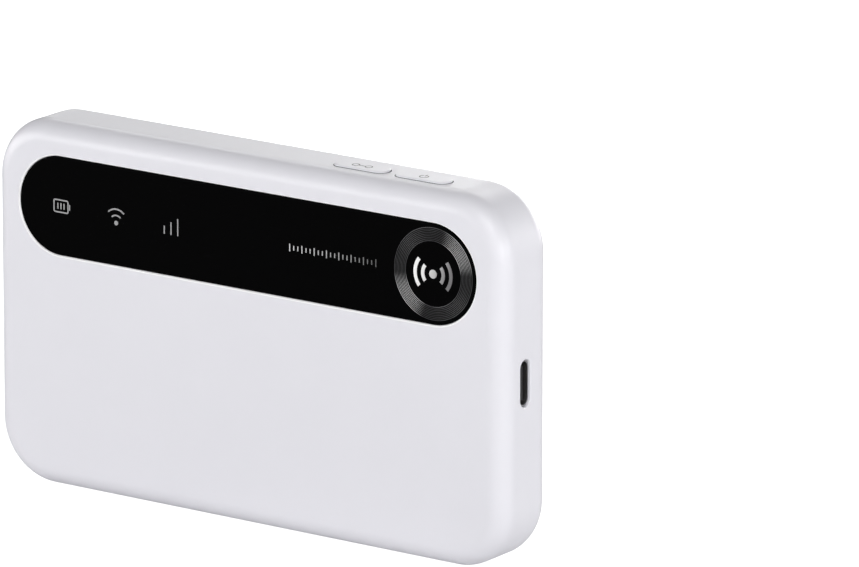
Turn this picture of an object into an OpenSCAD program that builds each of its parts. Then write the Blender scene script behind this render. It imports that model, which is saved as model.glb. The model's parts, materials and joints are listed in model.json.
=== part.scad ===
// Portable mobile hotspot: a rounded case with a glossy status window, two keys on top,
// a USB-C port in its side, and a clip-on rear cover over a removable battery.
// Millimetres. X is the width, Y runs from the front face to the back, Z is up.
// The origin is under the middle of the case, which stands on its long lower side.

/* [Case] */
// Width of the case, along X
body_w = 120; // [118:0.5:126]
// Height of the case, along Z
body_h = 72.7; // [72:0.1:76]
// Thickness of the case, along Y
body_d = 15.6; // [15.4:0.1:16.4]
// Corner radius of the front outline
corner_r = 12.2; // [11.5:0.1:13]
// Radius of the soft edges along the front and the back
edge_r = 4; // [3.8:0.1:4.2]
// Wall thickness of the case
wall = 1.6; // [1.5:0.05:1.7]

/* [Status window] */
// Radius of the window's round ends
window_r = 9.83; // [9:0.05:10.2]
// Gap from the window to the sides and the top of the case
window_margin = 6.35; // [6:0.05:7]
// How far the window lies below the front face
window_sink = 0.1; // [0.05:0.05:0.2]
// Thickness of the window
window_t = 0.7; // [0.5:0.05:0.75]
// Outer radius of the grooved ring
ring_r = 8.98; // [8.5:0.02:9.1]
// Width of the grooved ring
ring_w = 2.7; // [2:0.1:3.2]
// Number of grooves in the ring
ring_grooves = 8; // [5:1:10]

/* [Keys] */
// Length of each key on the top side
key_l = 12.2; // [11:0.1:13]
// Width of each key on the top side
key_w = 4.1; // [3.6:0.1:4.3]
// Distance between the middles of the two keys
key_pitch = 14.2; // [13.9:0.1:15]
// Place of the power key from the middle of the case
power_x = 37.3; // [36:0.1:38]
// How far the keys stand proud of the top side
key_proud = 0.35; // [0.3:0.05:0.5]
// Clearance round each key
key_gap = 0.15; // [0.1:0.05:0.2]
// Travel of each key
key_travel = 0.3; // [0.2:0.05:0.3]

/* [Port] */
// Long side of the port's opening in the case
port_l = 9.24; // [9.1:0.02:9.6]
// Short side of the port's opening in the case
port_w = 3.24; // [3.2:0.02:3.6]
// Place of the port's middle in front of the middle of the case
port_forward = 0.6; // [0.6:0.05:0.7]

/* [Rear cover] */
// Distance from the side of the case in to the seam round the rear cover
seam_inset = 1.17; // [1:0.01:1.25]
// Width of the gap in the seam
seam_gap = 0.12; // [0.1:0.01:0.15]
// Thickness of the grained skin on the rear cover
skin_t = 0.6; // [0.5:0.05:0.65]
// Thickness of the rear cover's shell under the skin
cover_t = 1.1; // [1:0.05:1.15]

/* [Battery] */
// Length of the battery, along X
battery_l = 85; // [80:0.5:85]
// Height of the battery, along Z
battery_h = 56.6; // [52:0.2:57]
// Thickness of the battery, along Y
battery_t = 5.35; // [5:0.05:5.4]

/* [Board] */
// Thickness of the main board
board_t = 1; // [0.8:0.1:1]
// Distance from the side of the case in to the board's edge
board_inset = 2.4; // [2.3:0.1:2.6]

/* [Hidden] */
$fn = 64;
EPS = 0.01;

// Planes through the stack, front to back
front_y = -body_d / 2;
back_y = body_d / 2;
front_in = front_y + wall;
window_y = front_y + window_sink;
window_back = window_y + window_t;
glue_t = 0.1;
pocket_floor = window_back + glue_t;
board_front = -3.2;
board_back = board_front + board_t;
frame_front = -0.6;
frame_t = 0.7;
frame_back = frame_front + frame_t;
battery_front = frame_back + 0.15;
battery_back = battery_front + battery_t;
ledge_y = 5;
rim_y = ledge_y + 0.1;
print_t = 0.04;

// Middle of the case's height and of the window
mid_z = body_h / 2;
window_z = body_h - window_margin - window_r;
window_end = body_w / 2 - window_margin - window_r;

// Status icons: battery, Wi-Fi and signal, from left to right
icon_x = [-43.7, -30.4, -17.3];
icon_stroke = 0.26;

// Keys and their switches, which share one middle plane
key_y = front_y + window_margin;
wps_x = power_x - key_pitch;
key_top = body_h + key_proud;
key_flange_top = body_h - wall - key_travel;
key_flange_t = 0.6;
key_stem_bottom = key_flange_top - key_flange_t - 0.8;
switch_top = key_stem_bottom - 1;
switch_h = 2.6;
plunger_r = 0.45;
guide_r = plunger_r + 0.05;
mark_t = 0.02;

// Port
port_y = -port_forward;
port_shell_l = port_l - 0.34;
port_shell_w = port_w - 0.14;
port_shell_t = 0.25;
port_front_x = body_w / 2 - 0.5;
tongue_recess = 0.4;
port_back_x = port_front_x - 7.5;

// Screws through the mid frame and the board into the case
screw_x = [-50, 0, 50];
screw_z = 31.55;
screw_r = 0.8;
screw_head_r = 1.6;
screw_head_t = 0.8;
screw_tip_y = -5.4;
boss_r = 2.2;

// Battery and its bay
battery_x = -12.1;
battery_end = battery_x + battery_l / 2;
cap_l = 4;
bay_gap = 0.3;
bay_wall = 1;
terminal_z = 20;
terminal_pitch = 3.4;
terminal_y = 2.4;

// SIM socket and reset button, beside the battery
sim_x = 45.5;
sim_z = 54;
sim_l = 14;
sim_h = 12;
reset_x = 42;
reset_z = 10.5;
reset_travel = 0.25;

// ---------- shapes that repeat ----------

// Rectangle with round corners, centred
module rounded_rect(w, h, r) {
    square([w - 2 * r, h], center = true);
    square([w, h - 2 * r], center = true);
    for (x = [-1, 1], y = [-1, 1])
        translate([x * (w / 2 - r), y * (h / 2 - r)]) circle(r);
}

// Slot with round ends, l long and w wide
module stadium(l, w) {
    square([l - w, w], center = true);
    for (x = [-1, 1]) translate([x * (l - w) / 2, 0]) circle(w / 2);
}

// Part of a ring between two angles, counted from +X
module arc_band(r, stroke, from, to) {
    reach = 2 * r;
    middle = (from + to) / 2;
    intersection() {
        difference() {
            circle(r + stroke / 2);
            circle(r - stroke / 2);
        }
        polygon([
            [0, 0],
            [reach * cos(from), reach * sin(from)],
            [reach * cos(middle), reach * sin(middle)],
            [reach * cos(to), reach * sin(to)]
        ]);
    }
}

// Stands a drawing in X and Z up between two planes y0 < y1
module slab_y(y0, y1) {
    translate([0, y1, 0]) rotate([90, 0, 0]) linear_extrude(y1 - y0) children();
}

// Runs a drawing in Y and Z along X between x0 < x1
module slab_x(x0, x1) {
    translate([x0, 0, 0]) rotate([90, 0, 90]) linear_extrude(x1 - x0) children();
}

// Front outline of the case, drawn in X and Z and moved in by inset
module outline(inset) {
    translate([0, mid_z])
        rounded_rect(body_w - 2 * inset, body_h - 2 * inset, corner_r - inset);
}

// Section through one rounded corner, from its axis outwards
module corner_section(r, depth, fillet) {
    translate([0, -depth / 2]) square([r - fillet, depth]);
    translate([0, fillet - depth / 2]) square([r, depth - 2 * fillet]);
    for (y = [-1, 1]) translate([r - fillet, y * (depth / 2 - fillet)]) circle(fillet);
}

// The whole outer form of the case, moved in by inset
module envelope(inset) {
    w = body_w - 2 * inset;
    h = body_h - 2 * inset;
    d = body_d - 2 * inset;
    r = corner_r - inset;
    fillet = edge_r - inset;
    translate([0, 0, mid_z]) {
        slab_x(r - w / 2, w / 2 - r) rounded_rect(d, h, fillet);
        linear_extrude(h - 2 * r, center = true) rounded_rect(w, d, fillet);
        for (c = [[1, 1, 0], [-1, 1, -90], [-1, -1, 180], [1, -1, 90]])
            translate([c[0] * (w / 2 - r), 0, c[1] * (h / 2 - r)])
                rotate([0, c[2], 0]) rotate([90, 0, 0])
                    rotate_extrude(angle = 90) corner_section(r, d, fillet);
    }
}

// Outline of the status window, moved in by inset
module window_outline(inset) {
    translate([0, window_z])
        stadium(2 * (window_end + window_r - inset), 2 * (window_r - inset));
}

// Places its children at every screw, drawn in X and Z
module at_screws() {
    for (x = screw_x, z = [-1, 1]) translate([x, mid_z + z * screw_z]) children();
}

// Box given by two opposite corners
module block(low, high) {
    translate(low) cube(high - low);
}

// Open can of thin sheet with its rim on the board; up is the side its lid is on
module shield_can(x, z, w, h, rim_y, lid_y) {
    sheet = 0.2;
    low = min(rim_y, lid_y);
    high = max(rim_y, lid_y);
    cut_low = lid_y < rim_y ? low + sheet : low - 1;
    cut_high = lid_y < rim_y ? high + 1 : high - sheet;
    difference() {
        slab_y(low, high) translate([x, z]) rounded_rect(w, h, 0.8);
        slab_y(cut_low, cut_high) translate([x, z]) rounded_rect(w - 2 * sheet, h - 2 * sheet, 0.6);
    }
}

// Chip package on the board
module chip(x, z, w, h, y0, y1) {
    slab_y(y0, y1) translate([x, z]) square([w, h], center = true);
}

// ---------- case and window ----------

module front_case() {
    color("white") difference() {
        union() {
            difference() {
                envelope(0);
                envelope(wall);
            }
            slab_y(front_in - EPS, board_front) at_screws() circle(boss_r);
        }
        // Rebate that the rear cover drops into
        slab_y(ledge_y, back_y + 1) outline(seam_inset);
        // Pocket for the window, and a light window behind each icon
        slab_y(front_y - 1, pocket_floor) window_outline(0);
        slab_y(pocket_floor - 1, front_in + 1)
            for (x = icon_x) translate([x, window_z]) rounded_rect(6, 4.4, 1);
        // Key openings in the top side
        for (x = [wps_x, power_x])
            translate([x, key_y, body_h - wall - 1])
                linear_extrude(wall + 2) stadium(key_l + 2 * key_gap, key_w + 2 * key_gap);
        // Port opening in the right side
        slab_x(body_w / 2 - wall - 1, body_w / 2 + 1)
            translate([port_y, mid_z]) rotate(90) stadium(port_l, port_w);
        // Pilot holes for the screws
        slab_y(screw_tip_y - 0.3, board_front + 1) at_screws() circle(screw_r + 0.05);
        // Finger notch under the rear edge, to start the cover
        translate([-30, back_y + 0.8, -1]) cylinder(r = 3.2, h = 1 + seam_inset);
    }
}

module window_lens() {
    color([0.02, 0.02, 0.02]) difference() {
        slab_y(window_y, window_back) window_outline(0.08);
        slab_y(window_y - 1, window_y + 0.25) translate([window_end, window_z]) difference() {
            circle(ring_r + 0.02);
            circle(ring_r - ring_w - 0.02);
        }
    }
}

module lens_adhesive() {
    color([0.1, 0.1, 0.1]) slab_y(window_back, pocket_floor) difference() {
        window_outline(0.3);
        window_outline(3.4);
    }
}

// Print on the front of the window
module window_print() {
    color([0.72, 0.72, 0.72]) slab_y(window_y - print_t, window_y) children();
}

// Battery outline with its nub and three charge bars
module battery_icon() {
    w = 3.64;
    h = 2.66;
    window_print() translate([icon_x[0], window_z]) {
        difference() {
            rounded_rect(w, h, 0.45);
            rounded_rect(w - 2 * icon_stroke, h - 2 * icon_stroke, 0.2);
        }
        translate([w / 2 + 0.24, 0]) square([0.28, 1.1], center = true);
        for (i = [-1, 0, 1]) translate([i * 0.74, 0]) square([icon_stroke, 1.2], center = true);
    }
}

// Dot with two arcs over it
module wifi_icon() {
    window_print() translate([icon_x[1], window_z - 1.33]) {
        circle(0.45);
        arc_band(1.5, 0.3, 47, 133);
        arc_band(2.74, 0.3, 47, 133);
    }
}

// Three bars of growing height
module signal_icon() {
    heights = [1.6, 2.5, 3.35];
    window_print() for (i = [0, 1, 2])
        translate([icon_x[2] + (i - 1) * 1.6, window_z - 1.7])
            translate([-icon_stroke / 2, 0]) square([icon_stroke, heights[i]]);
}

// Row of short ticks, every third one taller
module tick_row() {
    count = 22;
    first = 10.7;
    last = 30.7;
    window_print() for (i = [0 : count - 1])
        translate([first + i * (last - first) / (count - 1), window_z + 0.1])
            square([0.22, i % 3 == 0 ? 1.5 : 0.9], center = true);
}

// Metal ring with fine concentric grooves, set flush in the window
module ring_trim() {
    pitch = ring_w / (ring_grooves + 0.5);
    inner = ring_r - ring_w;
    ring_t = 0.2;
    color([0.35, 0.35, 0.36]) translate([window_end, window_y + ring_t + 0.05, window_z])
        rotate([90, 0, 0]) rotate_extrude() difference() {
            translate([inner, 0]) square([ring_w, ring_t]);
            for (i = [0 : ring_grooves - 1])
                translate([inner + (i + 0.5) * pitch, ring_t - 0.06]) square([pitch / 2, 1]);
        }
}

// Dot between two pairs of arcs: a plain sign for sending
module emblem() {
    color([0.85, 0.85, 0.85]) slab_y(window_y - print_t, window_y)
        translate([window_end, window_z]) {
            circle(0.85);
            for (side = [0, 180], r = [2.35, 4.1]) rotate(side) arc_band(r, 0.75, -40, 40);
        }
}

// ---------- lights ----------

module light_guide() {
    color([0.9, 0.9, 0.95]) {
        slab_y(pocket_floor + 0.05, board_front - 1.2)
            for (x = icon_x) translate([x, window_z]) rounded_rect(5.6, 4, 0.9);
        slab_y(front_in + 0.1, front_in + 0.8) translate([icon_x[1], window_z])
            square([icon_x[2] - icon_x[0], 3], center = true);
    }
}

module light_shield() {
    color([0.15, 0.15, 0.15]) slab_y(front_in + 0.95, board_front - 0.05) difference() {
        translate([icon_x[1], window_z]) rounded_rect(37, 8.4, 1);
        for (x = icon_x) translate([x, window_z]) rounded_rect(6.2, 4.6, 1);
    }
}

module status_leds() {
    color([0.95, 0.95, 0.8]) for (x = icon_x)
        chip(x, window_z, 1.6, 0.8, board_front - 0.6, board_front);
}

// ---------- board and what it carries ----------

module heat_spreader() {
    color([0.2, 0.2, 0.22]) slab_y(front_in + 0.05, front_in + 0.2)
        translate([0, 25.5]) rounded_rect(104, 34, 3);
}

module spreader_pad() {
    color([0.6, 0.7, 0.8]) chip(-6, 26, 24, 24, front_in + 0.2, board_front - 2);
}

// Room for the flanges of both keys, cut from the board and the frame
module key_room() {
    side = key_l / 2 + 1.4;
    block([wps_x - side, front_y, key_flange_top - 1.6], [power_x + side, 2, body_h]);
}

module main_board() {
    color([0.05, 0.3, 0.15]) difference() {
        slab_y(board_front, board_back) outline(board_inset);
        key_room();
        slab_y(board_front - 1, board_back + 1) at_screws() circle(screw_r + 0.2);
        slab_y(board_front - 1, board_back + 1) at_port_legs() circle(0.5);
    }
}

module baseband_shield() {
    color([0.75, 0.75, 0.77]) shield_can(-6, 26, 28, 28, board_front, board_front - 2);
}

module wifi_shield() {
    color([0.75, 0.75, 0.77]) shield_can(28, 24, 22, 20, board_front, board_front - 1.6);
}

module rf_shield() {
    color([0.75, 0.75, 0.77]) shield_can(-34, 40, 30, 20, board_back, board_back + 1.3);
}

module modem_chip() {
    color([0.12, 0.12, 0.13]) chip(-11, 31, 14, 14, board_front - 1, board_front);
}

module memory_chip() {
    color([0.12, 0.12, 0.13]) chip(2, 31, 8, 12, board_front - 0.9, board_front);
}

module power_chip() {
    color([0.12, 0.12, 0.13]) chip(-12, 18, 6, 6, board_front - 0.8, board_front);
}

module wifi_chip() {
    color([0.12, 0.12, 0.13]) chip(28, 24, 8, 8, board_front - 0.9, board_front);
}

module rf_chips() {
    color([0.12, 0.12, 0.13]) for (x = [-44, -36, -28], z = [36, 44])
        chip(x, z, 4, 3, board_back, board_back + 0.8);
}

// Small capacitors and coils in rows
module board_passives() {
    color([0.7, 0.6, 0.45]) {
        for (i = [0 : 5]) chip(-48 + i * 3, 14, 1, 1.8, board_front - 0.6, board_front);
        for (i = [0 : 5]) chip(45, 12 + i * 3, 1.8, 1, board_front - 0.6, board_front);
        for (i = [0 : 3]) chip(10 + i * 4, 48, 2, 2, board_front - 1, board_front);
    }
}

module thermal_pad() {
    color([0.6, 0.7, 0.8]) chip(-11, 31, 12, 12, board_front - 1.8, board_front - 1);
}

// ---------- mid frame ----------

// Battery bay in plan, grown by grow
module bay_plan(grow) {
    translate([battery_x, mid_z])
        rounded_rect(battery_l + 2 * grow, battery_h + 2 * grow, 0.2 + grow);
}

// Opening in plan for the battery connector
module connector_plan() {
    translate([battery_end + 3.3, terminal_z]) square([6, 12.8], center = true);
}

module mid_frame() {
    bay_back = 4.9;
    color([0.3, 0.3, 0.32]) difference() {
        union() {
            slab_y(frame_front, frame_back) outline(wall + 0.3);
            slab_y(frame_back - EPS, bay_back) difference() {
                bay_plan(bay_gap + bay_wall);
                bay_plan(bay_gap);
            }
            slab_y(board_back, frame_front + EPS) at_screws() circle(2);
        }
        slab_y(board_back - 1, frame_back + 1) at_screws() circle(screw_r + 0.2);
        slab_y(frame_front - 1, bay_back + 1) connector_plan();
        // Window over the SIM socket, reaching towards the battery
        slab_y(frame_front - 1, frame_back + 1)
            translate([(battery_end + 1.8 + 53.2) / 2, sim_z])
                square([53.2 - battery_end - 1.8, sim_h + 1.4], center = true);
        // Hole over the reset button
        slab_y(frame_front - 1, frame_back + 1) translate([reset_x, reset_z]) circle(1.2);
        key_room();
        // Room for the port
        block([port_back_x - 0.6, frame_front - 1, mid_z - 5.4], [body_w, 2, mid_z + 5.4]);
    }
}

// One screw with a cross recess, its axis along Y and its tip to the front
module screw() {
    difference() {
        union() {
            slab_y(screw_tip_y, frame_back + EPS) circle(screw_r);
            slab_y(frame_back, frame_back + screw_head_t) circle(screw_head_r);
        }
        for (turn = [0, 90]) rotate([0, turn, 0])
            block([-0.9, frame_back + 0.4, -0.2], [0.9, frame_back + 2, 0.2]);
    }
}

module frame_screws() {
    color([0.8, 0.8, 0.82]) for (x = screw_x, z = [-1, 1])
        translate([x, 0, mid_z + z * screw_z]) screw();
}

// ---------- antennas ----------

// Thin flexible strip on the inside of the case wall, where it lies in the given box
module antenna_strip(low, high) {
    flex_t = 0.15;
    color([0.75, 0.5, 0.2]) intersection() {
        slab_y(0.1 - edge_r, frame_front - 0.3) difference() {
            outline(wall + 0.05);
            outline(wall + 0.05 + flex_t);
        }
        block(low, high);
    }
}

module antenna_top() {
    antenna_strip([-44, front_y, 60], [8, back_y, body_h]);
}

module antenna_bottom() {
    antenna_strip([-36, front_y, 0], [44, back_y, 12]);
}

module antenna_left() {
    antenna_strip([-body_w / 2, front_y, 16], [-50, back_y, 58]);
}

module antenna_right() {
    antenna_strip([50, front_y, 45], [body_w / 2, back_y, 66]);
}

// Spring clip from the board's edge out to an antenna strip; turn 0 faces up
module antenna_spring(x, z, turn) {
    sheet = 0.15;
    reach = board_inset - wall - 0.3;
    translate([x, 0, z]) rotate([0, turn, 0]) translate([-0.7, 0, 0]) {
        block([0, board_front - sheet, -1.6], [1.4, board_front, reach]);
        block([0, board_front - EPS, reach - sheet], [1.4, board_back, reach]);
    }
}

module antenna_springs() {
    edge_x = body_w / 2 - board_inset;
    color([0.85, 0.7, 0.3]) {
        antenna_spring(-20, body_h - board_inset, 0);
        antenna_spring(edge_x, 50, 90);
        antenna_spring(20, board_inset, 180);
        antenna_spring(-edge_x, 30, -90);
    }
}

// ---------- port ----------

// Port outline in Y and Z, long side up, moved in by inset
module port_plan(inset) {
    translate([port_y, mid_z]) rotate(90)
        stadium(port_shell_l - 2 * inset, port_shell_w - 2 * inset);
}

// Places its children at the port's four legs, drawn in X and Z
module at_port_legs() {
    for (x = [port_back_x + 1.2, port_back_x + 4.4], z = [-1, 1])
        translate([x, mid_z + z * 3.9]) children();
}

module usb_shell() {
    color([0.7, 0.7, 0.72]) difference() {
        union() {
            slab_x(port_back_x, port_front_x) port_plan(0);
            slab_y(board_front + 0.2, port_y - 0.9) at_port_legs() circle(0.38);
        }
        slab_x(port_back_x + 0.4, port_front_x + 1) port_plan(port_shell_t);
    }
}

module usb_tongue() {
    color([0.08, 0.08, 0.08]) {
        block(
            [port_back_x + 0.45, port_y - 1.1, mid_z - 3.2],
            [port_back_x + 1.6, port_y + 1.1, mid_z + 3.2]
        );
        block(
            [port_back_x + 1.6, port_y - 0.35, mid_z - 3.35],
            [port_front_x - tongue_recess, port_y + 0.35, mid_z + 3.35]
        );
    }
}

// Twelve contacts on each side of the tongue
module usb_contacts() {
    pitch = 0.5;
    color([0.85, 0.7, 0.3]) for (side = [-1, 1], i = [0 : 11])
        translate([port_back_x + 4.6, port_y + side * 0.375, mid_z + (i - 5.5) * pitch])
            cube([3.6, 0.05, 0.25], center = true);
}

module usb_seal() {
    inner = body_w / 2 - wall;
    color([0.12, 0.12, 0.12]) slab_x(inner - 0.75, inner - 0.05) difference() {
        port_plan(-0.8);
        port_plan(-0.03);
    }
}

// ---------- keys and their switches ----------

// Key cap with its flange under the top wall and a stem down to the switch
module key_cap(x) {
    translate([x, key_y, 0]) {
        translate([0, 0, key_flange_top - EPS])
            linear_extrude(key_top - key_flange_top + EPS) stadium(key_l, key_w);
        translate([0, 0, key_flange_top - key_flange_t])
            linear_extrude(key_flange_t) stadium(key_l + 1.4, key_w + 0.8);
        translate([0, 0, key_stem_bottom])
            linear_extrude(key_flange_top - key_flange_t + EPS - key_stem_bottom)
                square([3, 1.3], center = true);
    }
}

// Plunger from the key's stem down into its switch
module plunger(x) {
    color([0.1, 0.1, 0.1]) translate([x, key_y, switch_top - 1.2])
        cylinder(r = plunger_r, h = key_stem_bottom - switch_top + 1.2);
}

module power_key() {
    color([0.96, 0.96, 0.96]) key_cap(power_x);
}

module wps_key() {
    color([0.96, 0.96, 0.96]) key_cap(wps_x);
}

// Ring open at the top with a short bar in the opening
module power_mark() {
    color([0.6, 0.6, 0.6]) translate([power_x, key_y, key_top]) linear_extrude(mark_t) {
        arc_band(0.85, 0.22, 125, 270);
        arc_band(0.85, 0.22, -90, 55);
        translate([0, 0.75]) square([0.22, 0.9], center = true);
    }
}

// Two small rings side by side, joined by a bar
module wps_mark() {
    color([0.6, 0.6, 0.6]) translate([wps_x, key_y, key_top]) linear_extrude(mark_t) {
        for (side = [-1, 1]) translate([side * 1.5, 0]) difference() {
            circle(0.8);
            circle(0.58);
        }
        square([1.5, 0.22], center = true);
    }
}

module power_plunger() {
    plunger(power_x);
}

module wps_plunger() {
    plunger(wps_x);
}

// Side-press switches on the board, each with a guide hole for its plunger
module key_switches() {
    color([0.75, 0.75, 0.7]) for (x = [wps_x, power_x]) difference() {
        block([x - 2.4, board_back, switch_top - switch_h], [x + 2.4, board_back + 1.5, switch_top]);
        translate([x, key_y, switch_top - 1.7]) cylinder(r = guide_r, h = 3);
    }
}

// ---------- SIM socket and reset ----------

module sim_base() {
    color([0.1, 0.1, 0.1]) chip(sim_x, sim_z, sim_l - 0.6, sim_h - 0.6, board_back, board_back + 0.3);
}

// Folded sheet cover, open towards the battery
module sim_shell() {
    sheet = 0.15;
    top = board_back + 1.4;
    color([0.75, 0.75, 0.77]) difference() {
        slab_y(board_back, top) translate([sim_x, sim_z]) square([sim_l, sim_h], center = true);
        block(
            [sim_x - sim_l, board_back - 1, sim_z - sim_h / 2 + sheet],
            [sim_x + sim_l / 2 - sheet, top - sheet, sim_z + sim_h / 2 - sheet]
        );
        slab_y(top - 1, top + 1) translate([sim_x - 2, sim_z]) rounded_rect(5, 6, 1);
    }
}

module sim_contacts() {
    color([0.85, 0.7, 0.3]) for (x = [-3.5, 0, 3.5], z = [-2.6, 2.6])
        chip(sim_x + x, sim_z + z, 2.2, 1.1, board_back + 0.3, board_back + 0.42);
}

module reset_switch() {
    color([0.75, 0.75, 0.7]) difference() {
        chip(reset_x, reset_z, 3.2, 3.2, board_back, board_back + 1);
        slab_y(board_back + 0.3, board_back + 2) translate([reset_x, reset_z]) circle(0.8);
    }
}

module reset_button() {
    color([0.8, 0.2, 0.15]) slab_y(board_back + 0.3 + reset_travel + 0.05, frame_back - 0.3)
        translate([reset_x, reset_z]) circle(0.75);
}

// ---------- battery contacts and label on the frame ----------

module battery_connector() {
    low = battery_end + 1.2;
    color([0.1, 0.1, 0.1]) difference() {
        block([low, board_back, terminal_z - 5.8], [low + 4.6, terminal_y + 1.4, terminal_z + 5.8]);
        for (i = [-1, 0, 1]) block(
            [low - 1, terminal_y - 1, terminal_z + i * terminal_pitch - 0.8],
            [low + 1, terminal_y + 1, terminal_z + i * terminal_pitch + 0.8]
        );
    }
}

// Bent spring blade for each battery terminal
module battery_blades() {
    bend = 0.9;
    sheet = 0.16;
    color([0.85, 0.7, 0.3]) for (i = [-1, 0, 1])
        translate([battery_end + 1.1, terminal_y, terminal_z + i * terminal_pitch - 0.6])
            linear_extrude(1.2) {
                arc_band(bend, sheet, 90, 180);
                arc_band(bend, sheet, 180, 270);
                for (y = [-1, 1]) translate([-EPS, y * bend - sheet / 2]) square([1.1 + EPS, sheet]);
            }
}

module rating_label() {
    color([0.92, 0.92, 0.9]) slab_y(frame_back, frame_back + 0.1)
        translate([48, 21]) rounded_rect(15, 9, 1);
}

// ---------- battery ----------

// Battery section in Y and Z, with soft long edges
module battery_section(inset) {
    translate([(battery_front + battery_back - 0.1) / 2, mid_z])
        rounded_rect(battery_t - 0.1 - 2 * inset, battery_h - 2 * inset, 1.2 - inset);
}

module battery_cell() {
    color([0.25, 0.25, 0.28])
        slab_x(battery_x - battery_l / 2, battery_end - cap_l) battery_section(0);
}

module battery_end_cap() {
    color([0.08, 0.08, 0.08]) difference() {
        slab_x(battery_end - cap_l, battery_end) battery_section(0);
        for (i = [-1, 0, 1]) block(
            [battery_end - 0.4, terminal_y - 1.2, terminal_z + i * terminal_pitch - 1],
            [battery_end + 1, terminal_y + 1.2, terminal_z + i * terminal_pitch + 1]
        );
    }
}

module battery_terminals() {
    color([0.9, 0.75, 0.3]) for (i = [-1, 0, 1]) block(
        [battery_end - 0.4, terminal_y - 1.1, terminal_z + i * terminal_pitch - 0.9],
        [battery_end - 0.2, terminal_y + 1.1, terminal_z + i * terminal_pitch + 0.9]
    );
}

module battery_label() {
    color([0.9, 0.9, 0.9]) slab_y(battery_back - 0.1, battery_back)
        translate([battery_x - cap_l / 2, mid_z]) rounded_rect(battery_l - cap_l - 6, battery_h - 8, 1.5);
}

// ---------- rear cover ----------

// Everything inside the seam, behind the given plane
module cover_zone(from_y) {
    slab_y(from_y, back_y + 1) outline(seam_inset + seam_gap);
}

// Clip tab reaching into the case, turned to face the wall it grips
module cover_tab(x, z, turn) {
    translate([x, 0, z]) rotate([0, turn, 0])
        block([-4, ledge_y - 1.4, -wall - 1.5], [4, ledge_y + 1.1, -wall - 0.65]);
}

module rear_cover() {
    color([0.9, 0.9, 0.9]) {
        difference() {
            intersection() {
                envelope(skin_t + 0.05);
                cover_zone(rim_y);
            }
            envelope(skin_t + 0.05 + cover_t);
        }
        for (x = [-38, 0, 38]) {
            cover_tab(x, body_h, 0);
            cover_tab(x, 0, 180);
        }
        cover_tab(body_w / 2, mid_z, 90);
        cover_tab(-body_w / 2, mid_z, -90);
    }
}

// Plain mark on the rear: a dot with two arcs over it
module rear_mark_plan() {
    translate([0, mid_z - 2.2]) {
        circle(0.75);
        arc_band(2.6, 0.6, 47, 133);
        arc_band(4.6, 0.6, 47, 133);
    }
}

module rear_skin() {
    color([0.93, 0.93, 0.94]) difference() {
        intersection() {
            envelope(0);
            cover_zone(rim_y);
        }
        envelope(skin_t);
        slab_y(back_y - 0.1, back_y + 1) rear_mark_plan();
    }
}

module rear_mark() {
    color([0.6, 0.6, 0.62]) slab_y(back_y - 0.1, back_y - 0.03) rear_mark_plan();
}

module cover_foam() {
    foam_back = back_y - skin_t - 0.05 - cover_t;
    color([0.2, 0.2, 0.2]) slab_y(foam_back - 0.2, foam_back) for (x = [-40, 16])
        translate([x, mid_z]) rounded_rect(10, 40, 1);
}

// ---------- parts ----------

front_case();
window_lens();
lens_adhesive();
battery_icon();
wifi_icon();
signal_icon();
tick_row();
ring_trim();
emblem();
light_guide();
light_shield();
status_leds();
heat_spreader();
spreader_pad();
main_board();
baseband_shield();
wifi_shield();
rf_shield();
modem_chip();
memory_chip();
power_chip();
wifi_chip();
rf_chips();
board_passives();
thermal_pad();
mid_frame();
frame_screws();
antenna_top();
antenna_bottom();
antenna_left();
antenna_right();
antenna_springs();
usb_shell();
usb_tongue();
usb_contacts();
usb_seal();
key_switches();
sim_base();
sim_shell();
sim_contacts();
reset_switch();
battery_connector();
battery_blades();
rating_label();
power_key();
power_mark();
power_plunger();
wps_key();
wps_mark();
wps_plunger();
reset_button();
battery_cell();
battery_end_cap();
battery_terminals();
battery_label();
rear_cover();
rear_skin();
rear_mark();
cover_foam();
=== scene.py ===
import json
import math

import bmesh
import bpy
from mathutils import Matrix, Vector, noise


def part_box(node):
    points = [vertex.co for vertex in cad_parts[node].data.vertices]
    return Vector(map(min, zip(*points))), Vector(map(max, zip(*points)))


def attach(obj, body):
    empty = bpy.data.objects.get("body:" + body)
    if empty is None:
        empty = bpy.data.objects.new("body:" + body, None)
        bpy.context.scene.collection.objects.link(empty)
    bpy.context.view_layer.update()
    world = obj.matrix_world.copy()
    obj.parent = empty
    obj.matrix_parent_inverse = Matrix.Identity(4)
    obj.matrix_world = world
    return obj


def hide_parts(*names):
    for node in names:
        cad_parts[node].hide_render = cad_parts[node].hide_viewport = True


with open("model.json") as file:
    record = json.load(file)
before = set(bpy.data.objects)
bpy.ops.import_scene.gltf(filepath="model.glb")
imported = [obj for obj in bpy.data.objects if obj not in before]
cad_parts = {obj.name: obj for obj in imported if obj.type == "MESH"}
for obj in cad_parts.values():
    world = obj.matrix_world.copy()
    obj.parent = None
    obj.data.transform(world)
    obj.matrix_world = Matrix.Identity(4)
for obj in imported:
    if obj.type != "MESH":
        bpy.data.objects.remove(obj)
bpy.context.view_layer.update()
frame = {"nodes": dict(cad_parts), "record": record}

# Lengths are millimetres, and a finished piece is scaled to metres as it is made.
MM = 0.001

NODES = frame["nodes"]
SLOT_OF = {part["node"]: part["material_slot"] for part in frame["record"]["subparts"]}


def box_mm(name):
    """Lowest and highest corner of a CAD node, in millimetres."""
    low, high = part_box(name)
    return low / MM, high / MM


def middle_mm(name):
    low, high = box_mm(name)
    return (low + high) / 2


# ---------- sizes, from the frame where it holds them ----------

CASE_LOW, CASE_HIGH = box_mm("front_case")
SKIN_LOW, SKIN_HIGH = box_mm("rear_skin")
LENS_LOW, LENS_HIGH = box_mm("window_lens")
RING_LOW, RING_HIGH = box_mm("ring_trim")

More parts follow.
